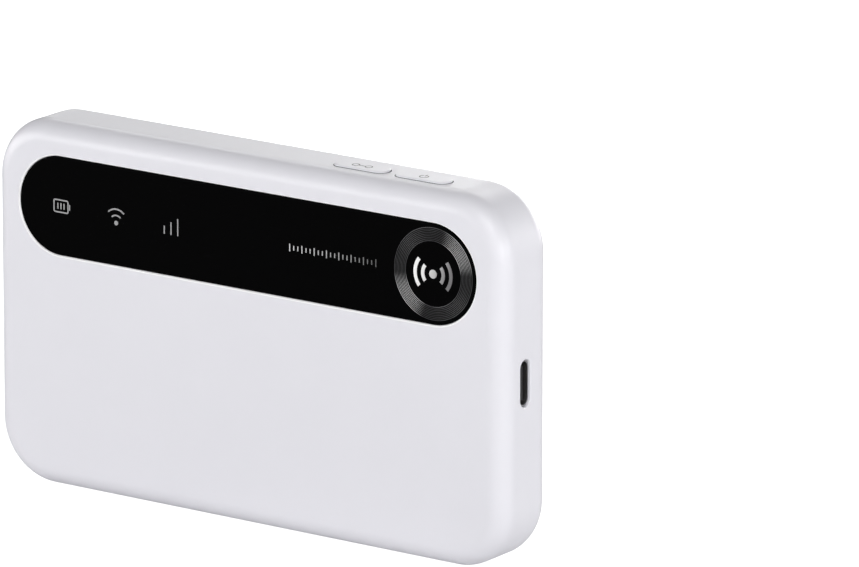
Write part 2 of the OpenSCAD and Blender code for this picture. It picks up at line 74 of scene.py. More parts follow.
BODY_W = CASE_HIGH.x - CASE_LOW.x
BODY_H = CASE_HIGH.z - CASE_LOW.z
FRONT_Y = CASE_LOW.y
BACK_Y = SKIN_HIGH.y
MID_Z = (CASE_LOW.z + CASE_HIGH.z) / 2
CORNER_R = 12.2
EDGE_R = 4.0
WALL = 1.6
SKIN_T = 0.6
# How far in from the side the case ends at the back, and the skin starts
SEAM_INSET = 1.17
SKIN_INSET = SKIN_LOW.x - CASE_LOW.x
# Depth of the ledge that the rear cover lies on, and where the flat side turns into the soft edge
LEDGE_Y = 5.0
FLAT_Y = BACK_Y - EDGE_R

LENS_GAP = 0.08
WINDOW_R = (LENS_HIGH.z - LENS_LOW.z) / 2 + LENS_GAP
WINDOW_Z = (LENS_LOW.z + LENS_HIGH.z) / 2
WINDOW_L = LENS_HIGH.x - LENS_LOW.x + 2 * LENS_GAP
POCKET_FLOOR = LENS_HIGH.y + 0.1
WINDOW_LIP = 0.34
# Openings in the case behind the three lit signs
ICON_X = (-43.7, -30.4, -17.3)
ICON_W = 6.0
ICON_H = 4.4
ICON_CORNER = 1.0

RING_R = (RING_HIGH.z - RING_LOW.z) / 2
RING_X = (RING_LOW.x + RING_HIGH.x) / 2
RING_W = 2.7
RING_GROOVES = 8
RING_GROOVE_T = 0.06
RING_CHAMFER = 0.03

KEY_L = 12.2
KEY_W = 4.1
KEY_GAP = 0.15
KEY_LIP = 0.12
KEY_DEPTH = 2.6
KEY_EDGE = 0.22
KEY_FLANGE_T = 0.6
KEY_FLANGE_L = KEY_L + 1.4
KEY_FLANGE_W = KEY_W + 0.8
STEM_L = 3.0
STEM_W = 1.3
# The CAD node of each key, and the body that it moves with
KEYS = {"power_key": "power_button", "wps_key": "wps_button"}

SCREW_Z = 31.55
SCREWS = [(x, MID_Z + z) for x in (-50, 0, 50) for z in (-SCREW_Z, SCREW_Z)]
BOSS_R = 2.2
BOSS_TOP = -3.2
PILOT_R = 0.85
PILOT_BOTTOM = -5.7

PORT_L = 9.24
PORT_W = 3.24
PORT_Y = middle_mm("usb_tongue").y
PORT_LIP = 0.22
PORT_DEPTH = 3.0

NOTCH_X = -30.0
NOTCH_R = 3.2
NOTCH_PAST_BACK = 0.8

# Degrees that the leather grain leans to one side of upright
GRAIN_LEAN = 35

QUARTER_TURN = [math.radians(15 * step) for step in range(7)]


# ---------- outlines and lofts ----------

def round_rect(width, height, radius, steps=32):
    """Points once round a rectangle with round corners, centred."""
    points = []
    for quarter, (u, v) in enumerate(((1, 1), (-1, 1), (-1, -1), (1, -1))):
        for i in range(steps + 1):
            angle = (quarter + i / steps) * math.pi / 2
            points.append((
                u * (width / 2 - radius) + radius * math.cos(angle),
                v * (height / 2 - radius) + radius * math.sin(angle),
            ))
    return points


def stadium(length, width, steps):
    """Points once round a slot with round ends, its long side along the first axis."""
    points = []
    for end in (1, -1):
        for i in range(steps + 1):
            angle = math.pi * (i / steps - 0.5)
            points.append((
                end * ((length - width) / 2 + width / 2 * math.cos(angle)),
                end * width / 2 * math.sin(angle),
            ))
    return points


def soft_edge(radius, start, end, steps, facing):
    """(inset, y) along the soft edge of the case: 0 degrees at its side, 90 at the face it turns to."""
    rows = []
    for i in range(steps + 1):
        angle = math.radians(start + (end - start) * i / steps)
        rows.append((EDGE_R - radius * math.cos(angle), facing * (FLAT_Y + radius * math.sin(angle))))
    return rows


def eased_corner(before, corner, after):
    """Points on a small curve from before to after that rounds off the corner between them."""
    rows = []
    for t in (0, 0.25, 0.5, 0.75, 1):
        rows.append(tuple(
            (1 - t) ** 2 * a + 2 * t * (1 - t) * c + t ** 2 * b
            for a, c, b in zip(before, corner, after)
        ))
    return rows


def case_loop(inset, y):
    """The front outline of the case, moved in by inset, at a depth y."""
    outline = round_rect(BODY_W - 2 * inset, BODY_H - 2 * inset, CORNER_R - inset)
    return [(x, y, MID_Z + z) for x, z in outline]


def bridge(bm, near, far):
    """Faces between two closed rings of vertices."""
    made = []
    for i in range(len(near)):
        j = (i + 1) % len(near)
        made.append(bm.faces.new((near[i], near[j], far[j], far[i])))
    return made


def loft(loops, bm=None):
    """A closed skin through loops that all have the same number of points, with flat ends."""
    bm = bm or bmesh.new()
    rings = [[bm.verts.new(point) for point in loop] for loop in loops]
    made = [bm.faces.new(rings[0]), bm.faces.new(rings[-1])]
    for near, far in zip(rings, rings[1:]):
        made += bridge(bm, near, far)
    bmesh.ops.recalc_face_normals(bm, faces=made)
    return bm


def revolve(profile, steps):
    """A closed ring from (radius, y) points turned round the Y axis."""
    bm = bmesh.new()
    rings = []
    for k in range(steps):
        angle = 2 * math.pi * k / steps
        rings.append([bm.verts.new((r * math.cos(angle), y, r * math.sin(angle))) for r, y in profile])
    for k in range(steps):
        bridge(bm, rings[k], rings[(k + 1) % steps])
    bmesh.ops.recalc_face_normals(bm, faces=bm.faces)
    return bm


def flared_opening(section, place, depth, lip):
    """Tool that cuts an opening with a rounded outer lip. section(grow) is its outline, and place puts
    a point of it at a depth under the surface. The lip turns 80 degrees and ends in a straight slope."""
    last = math.radians(80)
    steps = 6
    rows = [(0, depth)]
    for i in range(steps + 1):
        angle = last * i / steps
        rows.append((lip * (1 - math.cos(angle)), lip * (1 - math.sin(angle))))
    above = 0.02
    slope = (rows[-1][1] + above) / math.tan(math.pi / 2 - last)
    rows.append((rows[-1][0] + slope, -above))
    rows.append((rows[-1][0], -1))
    return loft([[place(u, v, d) for u, v in section(grow)] for grow, d in rows])


# ---------- from mesh code to a piece ----------

def new_object(name, bm, scale=1.0):
    """An object with the mesh in bm, which is used up."""
    mesh = bpy.data.meshes.new(name)
    bmesh.ops.scale(bm, vec=(scale, scale, scale), verts=bm.verts)
    bm.to_mesh(mesh)
    bm.free()
    made = bpy.data.objects.new(name, mesh)
    bpy.context.scene.collection.objects.link(made)
    return made


def combine(bm, tools):
    """bm after each (operation, tool) in turn, as exact booleans in millimetres."""
    base = new_object("work", bm)
    helpers = []
    for operation, tool in tools:
        helper = new_object("tool", tool)
        step = base.modifiers.new("step", "BOOLEAN")
        step.operation = operation
        step.solver = "EXACT"
        step.object = helper
        helpers.append(helper)
    depsgraph = bpy.context.evaluated_depsgraph_get()
    result = bmesh.new()
    result.from_object(base, depsgraph)
    for used in (base, *helpers):
        mesh = used.data
        bpy.data.objects.remove(used)
        bpy.data.meshes.remove(mesh)
    return result


def follow_large_faces(obj):
    """Normals that follow the large faces, so that flat ones look flat up to their soft edges."""
    weighted = obj.modifiers.new("even_shading", "WEIGHTED_NORMAL")
    weighted.keep_sharp = True


def piece(name, bm, body, slot, *replaced):
    """The finished piece: in metres, smooth up to its crisp edges, on its body and in its material."""
    made = new_object(name, bm, MM)
    made.data.polygons.foreach_set("use_smooth", [True] * len(made.data.polygons))
    made.data.set_sharp_from_angle(angle=math.radians(35))
    follow_large_faces(made)
    made.data.materials.append(material(slot))
    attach(made, body)
    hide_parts(*replaced)
    return made


# ---------- node helpers ----------

def shader(name, color, roughness, **sockets):
    """A new material and its Principled shader, with constants on the shader's own sockets."""
    mat = bpy.data.materials.new(name)
    mat.use_nodes = True
    principled = mat.node_tree.nodes["Principled BSDF"]
    principled.inputs["Base Color"].default_value = (*color, 1)
    principled.inputs["Roughness"].default_value = roughness
    for socket, value in sockets.items():
        principled.inputs[socket.replace("_", " ").replace("Ior", "IOR")].default_value = value
    mat.diffuse_color = (*color, 1)
    return mat, principled


def add(mat, kind, links=None, **settings):
    """A node with its settings; links feed its sockets with other sockets or with values."""
    made = mat.node_tree.nodes.new("ShaderNode" + kind)
    for key, value in settings.items():
        setattr(made, key, value)
    for key, value in (links or {}).items():
        if isinstance(value, bpy.types.NodeSocket):
            mat.node_tree.links.new(value, made.inputs[key])
        else:
            made.inputs[key].default_value = value
    return made


def spot(mat, stretch=(1, 1, 1), turn=(0, 0, 0)):
    """Where a surface point is on the object, in metres, stretched and turned for the textures."""
    where = add(mat, "TexCoord").outputs["Object"]
    return add(mat, "Mapping", {"Vector": where, "Rotation": turn, "Scale": stretch}).outputs["Vector"]


def axes_of(mat):
    """The X, Y and Z of a surface point, in metres."""
    return add(mat, "SeparateXYZ", {0: spot(mat)}).outputs


def speckle(mat, size, detail=2.0, where=None):
    """Noise from 0 to 1 with features of about that size in millimetres."""
    links = {"Vector": where or spot(mat), "Scale": 1 / (size * MM), "Detail": detail}
    return add(mat, "TexNoise", links).outputs["Fac"]


def spread(mat, value, low, high, start=0.3, end=0.7, smooth=False):
    """value from start to end, mapped to low to high."""
    made = add(mat, "MapRange", {
        "Value": value, "From Min": start, "From Max": end, "To Min": low, "To Max": high,
    })
    made.interpolation_type = "SMOOTHSTEP" if smooth else "LINEAR"
    return made.outputs["Result"]


def math_of(mat, operation, a, b=0.0):
    """One step of arithmetic on sockets or values."""
    return add(mat, "Math", {0: a, 1: b}, operation=operation).outputs["Value"]


def blend_colors(mat, factor, first, second):
    """First colour where the factor is 0, second where it is 1."""
    made = add(mat, "Mix", data_type="RGBA")
    mat.node_tree.links.new(factor, made.inputs["Factor"])
    for key, color in (("A", first), ("B", second)):
        socket = [s for s in made.inputs if s.name == key and s.type == "RGBA"][0]
        if isinstance(color, bpy.types.NodeSocket):
            mat.node_tree.links.new(color, socket)
        else:
            socket.default_value = (*color, 1)
    return [s for s in made.outputs if s.type == "RGBA"][0]


def drive(mat, principled, socket, value):
    """Feeds a socket of the shader from a node."""
    mat.node_tree.links.new(value, principled.inputs[socket])


def relief(mat, principled, layers):
    """Bump from (height, depth in millimetres) layers, the first one lowest."""
    normal = None
    for height, depth in layers:
        made = add(mat, "Bump", {"Height": height, "Distance": depth * MM, "Strength": 1.0})
        if normal is not None:
            mat.node_tree.links.new(normal, made.inputs["Normal"])
        normal = made.outputs["Normal"]
    mat.node_tree.links.new(normal, principled.inputs["Normal"])


def shaded(color, factor):
    """A colour made darker or lighter."""
    return tuple(min(1, c * factor) for c in color)


def vary(mat, principled, color, rough, tones, gloss):
    """Slow, faint changes of colour and roughness: tones and gloss are (amount, size in millimetres)."""
    tone = spread(mat, speckle(mat, tones[1], 3), 0, 1)
    color = blend_colors(mat, tone, shaded(color, 1 - tones[0]), shaded(color, 1 + tones[0]))
    drive(mat, principled, "Base Color", color)
    sheen = spread(mat, speckle(mat, gloss[1], 4), rough - gloss[0], rough + gloss[0])
    drive(mat, principled, "Roughness", sheen)


def finish(name, color, rough, tones, gloss, bump, **sockets):
    """A material that varies a little and has a fine bump: (size, detail, depth)."""
    mat, principled = shader(name, color, rough, **sockets)
    vary(mat, principled, color, rough, tones, gloss)
    size, detail, depth = bump
    relief(mat, principled, [(speckle(mat, size, detail), depth)])
    return mat


# ---------- materials, one function a slot ----------

WHITE = (0.80, 0.794, 0.84)
WHITE_LOW = tuple(c - 0.005 for c in WHITE)
WHITE_HIGH = tuple(c + 0.005 for c in WHITE)
# Near black painted into the gaps round the keys as shade
GAP_SHADE = (0.03, 0.03, 0.032)
# Near white painted onto the lip round the window as a highlight
RIM_HIGHLIGHT = (0.98, 0.98, 0.99)
# Darker skin colour painted into the creases of the grain as shade
SKIN_CREASE_SHADE = (0.745, 0.738, 0.785)
SKIN_CREST = (0.81, 0.804, 0.85)


def slot_distance(mat, u, v, middle, half, radius):
    """Distance from a slot's outline, below 0 inside it: its straight part is twice half long."""
    along = math_of(mat, "ABSOLUTE", math_of(mat, "SUBTRACT", u, middle[0] * MM))
    along = math_of(mat, "MAXIMUM", math_of(mat, "SUBTRACT", along, half * MM), 0.0)
    across = math_of(mat, "SUBTRACT", v, middle[1] * MM)
    squares = math_of(mat, "ADD", math_of(mat, "POWER", along, 2.0), math_of(mat, "POWER", across, 2.0))
    return math_of(mat, "SUBTRACT", math_of(mat, "SQRT", squares), radius * MM)


def white_tone(mat, size):
    """The white of the case with very faint, slow changes."""
    return blend_colors(mat, spread(mat, speckle(mat, size, 3), 0, 1), WHITE_LOW, WHITE_HIGH)


def case_white():
    """Satin moulded plastic with a fine spark-eroded texture, a painted highlight on the lip round the
    window and painted shade in the gaps round the keys."""
    mat, principled = shader("case_white", WHITE, 0.36)
    color = white_tone(mat, 14)
    x, y, z = axes_of(mat)
    # Painted highlight: the lip round the window is coloured near white.
    to_rim = slot_distance(
        mat, x, z, (0, WINDOW_Z), WINDOW_L / 2 - WINDOW_R, WINDOW_R + WINDOW_LIP)
    front = spread(mat, y, 1, 0, (FRONT_Y + 0.5) * MM, (FRONT_Y + 0.6) * MM)
    rim_highlight = math_of(mat, "MULTIPLY", front, spread(mat, to_rim, 1, 0, -0.03 * MM, 0.03 * MM))
    color = blend_colors(mat, rim_highlight, color, RIM_HIGHLIGHT)
    # Painted shade: the case's walls inside the gaps round the keys are coloured near black.
    upper = spread(mat, z, 0, 1, MID_Z * MM, (MID_Z + 1) * MM)
    for key in KEYS:
        to_gap = slot_distance(mat, x, y, middle_mm(key).xy, (KEY_L - KEY_W) / 2, KEY_W / 2 + KEY_GAP)
        inside = math_of(mat, "MULTIPLY", upper, spread(mat, to_gap, 1, 0, 0.02 * MM, 0.05 * MM))
        color = blend_colors(mat, inside, color, GAP_SHADE)
    drive(mat, principled, "Base Color", color)
    drive(mat, principled, "Roughness", spread(mat, speckle(mat, 1.5, 4), 0.33, 0.39))
    relief(mat, principled, [(speckle(mat, 0.11, 3), 0.003), (speckle(mat, 6, 1), 0.004)])
    return mat


def key_white():
    """The case's plastic, with painted shade on its sides where the key goes into its opening."""
    mat, principled = shader("key_white", WHITE, 0.34)
    color = white_tone(mat, 5)
    # Painted shade: the key's sides below the case's top are coloured near black.
    gap_shade_below_top = spread(mat, axes_of(mat)["Z"], 1, 0, (CASE_HIGH.z - 0.02) * MM, (CASE_HIGH.z + 0.06) * MM)
    drive(mat, principled, "Base Color", blend_colors(mat, gap_shade_below_top, color, GAP_SHADE))
    drive(mat, principled, "Roughness", spread(mat, speckle(mat, 1, 4), 0.31, 0.37))
    relief(mat, principled, [(speckle(mat, 0.09, 3), 0.0025)])
    return mat


def key_ink():
    """Grey pad-printed ink of the marks on the keys."""
    return finish("key_ink", (0.16, 0.16, 0.165), 0.5, (0.08, 0.3), (0.06, 0.2), (0.06, 2, 0.002))


def skin_white():
    """Leather-grained soft skin: the mesh holds the wrinkles, the bump the pores between them."""
    mat, principled = shader("skin_white", WHITE, 0.36)
    drive(mat, principled, "Roughness", spread(mat, speckle(mat, 0.8, 4), 0.3, 0.42))
    slanted = spot(mat, turn=(0, math.radians(GRAIN_LEAN), 0))
    where = add(mat, "Mapping", {"Vector": slanted, "Scale": (1, 1, 0.6)}).outputs["Vector"]
    cells = {"Vector": where, "Scale": 1 / (0.62 * MM)}
    pebbles = add(mat, "TexVoronoi", cells, feature="DISTANCE_TO_EDGE").outputs["Distance"]
    creases = spread(mat, pebbles, 0, 1, 0, 0.22, True)
    # Painted shade: the colour is darker in the creases between the pebbles.
    drive(mat, principled, "Base Color", blend_colors(mat, creases, SKIN_CREASE_SHADE, SKIN_CREST))
    relief(mat, principled, [(creases, 0.04), (speckle(mat, 0.2, 3, where), 0.015)])
    return mat


def window_black():
    """Hard-coated black window: nearly no base reflection, with a faint orange peel."""
    mat, principled = shader("window_black", (0.0008, 0.0008, 0.0009), 0.06, Specular_Ior_Level=0.03)
    drive(mat, principled, "Roughness", spread(mat, speckle(mat, 7, 3), 0.045, 0.075))
    relief(mat, principled, [(speckle(mat, 5, 1), 0.0015)])
    return mat


def glue_black():
    return finish("glue_black", (0.03, 0.03, 0.03), 0.6, (0.2, 2), (0.1, 0.5), (0.3, 2, 0.01))


def print_grey():
    """Silk-screened grey ink, a little uneven at its edges."""
    return finish("print_grey", (0.335, 0.335, 0.34), 0.5, (0.07, 0.3), (0.06, 0.2), (0.06, 2, 0.002))


def fading_print():
    """The line of print, which fades to the right."""
    mat, principled = shader("fading_print", (0.5, 0.5, 0.51), 0.5)
    low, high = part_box("tick_row")
    fade = spread(mat, axes_of(mat)["X"], 0, 1, low.x, high.x)
    drive(mat, principled, "Base Color", blend_colors(mat, fade, (0.62, 0.62, 0.63), (0.09, 0.09, 0.09)))
    drive(mat, principled, "Roughness", spread(mat, speckle(mat, 0.2), 0.45, 0.55))
    return mat


def emblem_silver():
    """Metallic ink, bright at its left and dark at its right, along a slant."""
    mat, principled = shader("emblem_silver", (0.7, 0.7, 0.7), 0.35)
    slant = -0.35
    low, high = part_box("emblem")
    parts = axes_of(mat)
    across = math_of(mat, "ADD", parts["X"], math_of(mat, "MULTIPLY", parts["Z"], slant))
    shift = (low.z + high.z) / 2 * slant
    fade = spread(mat, across, 0, 1, low.x + shift, high.x + shift, True)
    silver = blend_colors(mat, fade, (0.93, 0.93, 0.92), (0.16, 0.155, 0.16))
    drive(mat, principled, "Base Color", silver)
    drive(mat, principled, "Roughness", spread(mat, speckle(mat, 0.25), 0.3, 0.42))
    relief(mat, principled, [(speckle(mat, 0.05), 0.0015)])
    return mat


def ring_grey():
    """Turned metal: light ridges on dark grooves, painted white as a highlight in two opposite sectors.
    """
    mat, principled = shader("ring_grey", (0.2, 0.2, 0.21), 0.34, Metallic=0.3, Specular_Ior_Level=0.15)
    parts = axes_of(mat)
    across = math_of(mat, "SUBTRACT", parts["X"], RING_X * MM)
    up = math_of(mat, "SUBTRACT", parts["Z"], WINDOW_Z * MM)
    # Painted highlight: the ridges' colour turns white in two opposite sectors, where turned metal
    # catches the light.
    from_bright = math_of(mat, "SUBTRACT", math_of(mat, "ARCTAN2", up, across), math.radians(40))
    twice_round = math_of(mat, "COSINE", math_of(mat, "MULTIPLY", from_bright, 2))
    highlight_sectors = spread(mat, twice_round, 0, 1, 0.3, 1.0, True)
    line = blend_colors(mat, highlight_sectors, (0.1, 0.1, 0.105), (1, 1, 1))
    ridge = spread(mat, parts["Y"], 1, 0, RING_LOW.y * MM, (RING_LOW.y + RING_GROOVE_T / 2) * MM)
    drive(mat, principled, "Base Color", blend_colors(mat, ridge, (0.002, 0.002, 0.002), line))
    drive(mat, principled, "Roughness", spread(mat, speckle(mat, 0.2), 0.28, 0.4))
    return mat


def guide_clear():
    mat, principled = shader("guide_clear", (0.9, 0.92, 0.93), 0.2, Transmission_Weight=0.85)
    drive(mat, principled, "Roughness", spread(mat, speckle(mat, 1.5), 0.15, 0.3))
    relief(mat, principled, [(speckle(mat, 0.4), 0.004)])
    return mat


def foam_black():
    """Closed-cell foam with open bubbles on its cut face, painted darker in their hollows as shade."""
    mat, principled = shader("foam_black", (0.035, 0.035, 0.037), 0.9)
    cells = add(mat, "TexVoronoi", {"Vector": spot(mat), "Scale": 1 / (0.35 * MM)}, feature="F1")
    depth = spread(mat, cells.outputs["Distance"], 0, 1, 0, 0.5, True)
    # Painted shade: the colour is darker towards the middle of each bubble.
    color = blend_colors(mat, depth, (0.015, 0.015, 0.016), (0.05, 0.05, 0.053))
    drive(mat, principled, "Base Color", color)
    drive(mat, principled, "Roughness", spread(mat, speckle(mat, 0.5), 0.8, 0.98))
    relief(mat, principled, [(depth, 0.06)])
    return mat


def led_yellow():
    return finish("led_yellow", (0.85, 0.75, 0.3), 0.3, (0.06, 0.3), (0.05, 0.3), (0.2, 2, 0.005))


def graphite():
    return finish(
        "graphite", (0.06, 0.06, 0.065), 0.45, (0.2, 3), (0.1, 1), (0.5, 4, 0.01), Metallic=0.4)


def pad_blue():
    return finish("pad_blue", (0.35, 0.48, 0.62), 0.75, (0.06, 0.8), (0.08, 0.6), (0.4, 3, 0.02))


def board_green():
    """Solder mask over a field of square-cornered copper tracks."""
    mat, principled = shader("board_green", (0.02, 0.14, 0.06), 0.35)
    field = add(mat, "TexVoronoi", {"Vector": spot(mat), "Scale": 1 / (3.2 * MM)}, distance="CHEBYCHEV")
    step = math_of(mat, "FRACT", math_of(mat, "MULTIPLY", field.outputs["Distance"], 5.0))
    tracks = spread(mat, math_of(mat, "PINGPONG", step, 0.5), 0, 1, 0.2, 0.3)
    mask = blend_colors(mat, tracks, (0.012, 0.1, 0.042), (0.03, 0.19, 0.085))
    drive(mat, principled, "Base Color", mask)
    drive(mat, principled, "Roughness", spread(mat, speckle(mat, 2), 0.28, 0.42))
    relief(mat, principled, [(tracks, 0.02)])
    return mat


def brushed(name, color, rough, streak=(1, 1, 12)):
    """Rolled or brushed metal with fine streaks across the axis that is stretched."""
    mat, principled = shader(name, color, rough, Metallic=1)
    lines = speckle(mat, 0.12, 3, spot(mat, streak))
    tone = spread(mat, lines, 0, 1)
    drive(mat, principled, "Base Color", blend_colors(mat, tone, shaded(color, 0.88), color))
    drive(mat, principled, "Roughness", spread(mat, lines, rough - 0.08, rough + 0.08))
    relief(mat, principled, [(lines, 0.0015), (speckle(mat, 4), 0.006)])
    return mat


def can_steel():
    return brushed("can_steel", (0.62, 0.61, 0.6), 0.32)


def screw_steel():
    return brushed("screw_steel", (0.66, 0.66, 0.67), 0.28, (12, 1, 12))


def port_steel():
    return brushed("port_steel", (0.42, 0.42, 0.43), 0.4, (12, 1, 1))


def contact_gold():
    return brushed("contact_gold", (0.95, 0.72, 0.33), 0.25)


def flex_copper():
    """Polyimide film over copper."""
    return finish(
        "flex_copper", (0.55, 0.27, 0.08), 0.35, (0.1, 2), (0.08, 1), (0.8, 2, 0.01), Metallic=0.3)


def moulded(name, color, rough, grain=0.14, depth=0.006):
    """Moulded plastic with an eroded surface."""
    return finish(name, color, rough, (0.08, 4), (0.07, 0.8), (grain, 3, depth))


def chip_black():
    return moulded("chip_black", (0.025, 0.025, 0.027), 0.55, 0.1, 0.004)


def block_black():
    return moulded("block_black", (0.02, 0.02, 0.021), 0.42, 0.12, 0.003)


def part_tan():
    return moulded("part_tan", (0.38, 0.28, 0.17), 0.5, 0.2, 0.004)


def frame_grey():
    return moulded("frame_grey", (0.085, 0.087, 0.092), 0.48, 0.16, 0.008)


def switch_grey():
    return moulded("switch_grey", (0.5, 0.5, 0.47), 0.45)


def reset_red():
    return moulded("reset_red", (0.62, 0.06, 0.04), 0.4)


def battery_grey():
    """Aluminium laminate pouch film with faint wrinkles."""
    color, rough = (0.16, 0.165, 0.18), 0.38
    mat, principled = shader("battery_grey", color, rough, Metallic=0.7)
    vary(mat, principled, color, rough, (0.1, 6), (0.08, 2))
    folds = speckle(mat, 9, 2, spot(mat, (0.5, 1, 1.6)))
    relief(mat, principled, [(folds, 0.12), (speckle(mat, 0.3), 0.004)])
    return mat


def label_border(mat, parts, low, high):
    """Distance from the edge of a label, below 0 on it."""
    middle = (low + high) / 2
    from_side = math_of(mat, "ABSOLUTE", math_of(mat, "SUBTRACT", parts["X"], middle.x))
    from_side = math_of(mat, "SUBTRACT", from_side, high.x - middle.x)
    from_end = math_of(mat, "ABSOLUTE", math_of(mat, "SUBTRACT", parts["Z"], middle.z))
    from_end = math_of(mat, "SUBTRACT", from_end, high.z - middle.z)
    return math_of(mat, "MAXIMUM", from_side, from_end)


def label_bars(mat, parts, low, high, pitch):
    """1 on rows of bars that start at one side and end at places of their own."""
    rows = math_of(mat, "DIVIDE", math_of(mat, "SUBTRACT", parts["Z"], low.z), pitch * MM)
    number = math_of(mat, "FLOOR", rows)
    length = add(mat, "TexWhiteNoise", {"W": number}, noise_dimensions="1D").outputs["Value"]
    end = spread(mat, length, low.x * 0.1 + high.x * 0.9, low.x * 0.6 + high.x * 0.4, 0, 1)
    before_end = math_of(mat, "GREATER_THAN", parts["X"], end)
    in_row = spread(mat, math_of(mat, "PINGPONG", rows, 0.5), 0, 1, 0.36, 0.4)
    return math_of(mat, "MULTIPLY", before_end, in_row)


def printed_label(name, node, margin, pitch):
    """Coated paper label with a thin printed frame and rows of plain bars in place of print."""
    mat, principled = shader(name, (0.78, 0.78, 0.77), 0.5)
    low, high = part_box(node)
    parts = axes_of(mat)
    border = label_border(mat, parts, low, high)
    off_line = math_of(mat, "ABSOLUTE", math_of(mat, "ADD", border, margin * MM))
    frame_line = spread(mat, off_line, 1, 0, margin * 0.06 * MM, margin * 0.1 * MM)
    bars = label_bars(mat, parts, low, high, pitch)
    inside = math_of(mat, "LESS_THAN", border, -1.8 * margin * MM)
    ink = math_of(mat, "MAXIMUM", frame_line, math_of(mat, "MULTIPLY", bars, inside))
    paper = blend_colors(mat, speckle(mat, 1.2, 3), (0.765, 0.765, 0.755), (0.795, 0.795, 0.785))
    drive(mat, principled, "Base Color", blend_colors(mat, ink, paper, (0.1, 0.1, 0.105)))
    drive(mat, principled, "Roughness", spread(mat, speckle(mat, 0.7, 4), 0.44, 0.56))
    relief(mat, principled, [(speckle(mat, 0.15, 4), 0.004)])
    return mat


def battery_print():
    return printed_label("battery_print", "battery_label", 1.8, 3.4)


def rating_print():
    return printed_label("rating_print", "rating_label", 0.7, 1.2)


def mark_grey():
    """Grey foil stamped into the skin."""
    return finish(
        "mark_grey", (0.36, 0.355, 0.37), 0.38, (0.05, 0.6), (0.06, 0.4), (0.25, 3, 0.006), Metallic=0.2)


MAKERS = {
    made.__name__: made for made in (
        case_white, key_white, skin_white, window_black, glue_black, print_grey, emblem_silver,
        ring_grey, guide_clear, foam_black, led_yellow, graphite, pad_blue, board_green, can_steel,
        screw_steel, port_steel, contact_gold, flex_copper, chip_black, block_black, part_tan,
        frame_grey, switch_grey, reset_red, battery_grey, battery_print, rating_print, mark_grey,
        fading_print, key_ink,
    )
}
made_so_far = {}


def material(slot):
    """The material of a slot, made once."""
    if slot not in made_so_far:
        made_so_far[slot] = MAKERS[slot]()
    return made_so_far[slot]


# ---------- case ----------

def case_shell():
    """Hollow case with its soft edges, the ledge for the rear cover and every opening."""
    seam_angle = math.degrees(math.acos(1 - SEAM_INSET / EDGE_R))
    ledge_angle = math.degrees(math.asin((LEDGE_Y - FLAT_Y) / (EDGE_R - WALL)))
    rows = soft_edge(EDGE_R, 90, 0, 24, -1)
    rear = soft_edge(EDGE_R, 0, seam_angle, 30, 1)
    rows += rear[:-1]
    rows += eased_corner(rear[-2], rear[-1], (SEAM_INSET, rear[-1][1] - 0.12))[1:]
    rows.append((SEAM_INSET, LEDGE_Y))
    rows += soft_edge(EDGE_R - WALL, ledge_angle, 0, 5, 1)
    rows += soft_edge(EDGE_R - WALL, 0, 90, 10, -1)
    window = flared_opening(window_section, on_front, POCKET_FLOOR - FRONT_Y, WINDOW_LIP)
    cuts = [window] + [icon_opening(x) for x in ICON_X]
    cuts += [key_opening(middle_mm(key)) for key in KEYS]
    cuts += [flared_opening(port_section, on_right, PORT_DEPTH, PORT_LIP), finger_notch()]
    cuts += [pilot_hole(x, z) for x, z in SCREWS]
    tools = [("UNION", boss(x, z)) for x, z in SCREWS] + [("DIFFERENCE", cut) for cut in cuts]
    bm = combine(loft([case_loop(inset, y) for inset, y in rows]), tools)
    return piece("case_shell", bm, "housing", "case_white", "front_case")


def window_section(grow):
    return stadium(WINDOW_L + 2 * grow, 2 * (WINDOW_R + grow), 64)


def on_front(u, v, depth):
    return (u, FRONT_Y + depth, WINDOW_Z + v)


def port_section(grow):
    return stadium(PORT_L + 2 * grow, PORT_W + 2 * grow, 24)


def on_right(u, v, depth):
    return (BODY_W / 2 - depth, PORT_Y - v, MID_Z + u)


def key_opening(middle):
    def section(grow):
        return stadium(KEY_L + 2 * (KEY_GAP + grow), KEY_W + 2 * (KEY_GAP + grow), 32)

    def on_top(u, v, depth):
        return (middle.x + u, middle.y + v, BODY_H - depth)

    return flared_opening(section, on_top, KEY_DEPTH, KEY_LIP)


def icon_opening(x):
    outline = round_rect(ICON_W, ICON_H, ICON_CORNER, 6)
    depths = (POCKET_FLOOR - 0.5, FRONT_Y + WALL + 0.3)
    return loft([[(x + u, y, WINDOW_Z + v) for u, v in outline] for y in depths])


def disc(x, z, radius, y):
    steps = 32
    turns = [2 * math.pi * k / steps for k in range(steps)]
    return [(x + radius * math.cos(a), y, z + radius * math.sin(a)) for a in turns]


def boss(x, z):
    rows = [(BOSS_R, FRONT_Y + WALL - 0.1), (BOSS_R, BOSS_TOP - 0.1), (BOSS_R - 0.1, BOSS_TOP)]
    return loft([disc(x, z, radius, y) for radius, y in rows])


def pilot_hole(x, z):
    return loft([disc(x, z, PILOT_R, y) for y in (PILOT_BOTTOM, BOSS_TOP + 0.7)])


def finger_notch():
    """Shallow scoop under the rear edge, where a nail lifts the cover."""
    rows = [(0.3, -1), (0.3, -0.02), (0.08, 0.1), (0, 0.3), (0, SEAM_INSET)]
    steps = 48
    turns = [2 * math.pi * k / steps for k in range(steps)]
    middle_y = BACK_Y + NOTCH_PAST_BACK
    loops = []
    for wider, z in rows:
        radius = NOTCH_R + wider
        loops.append([
            (NOTCH_X + radius * math.cos(a), middle_y + radius * math.sin(a), z) for a in turns
        ])
    return loft(loops)


# ---------- window and ring ----------

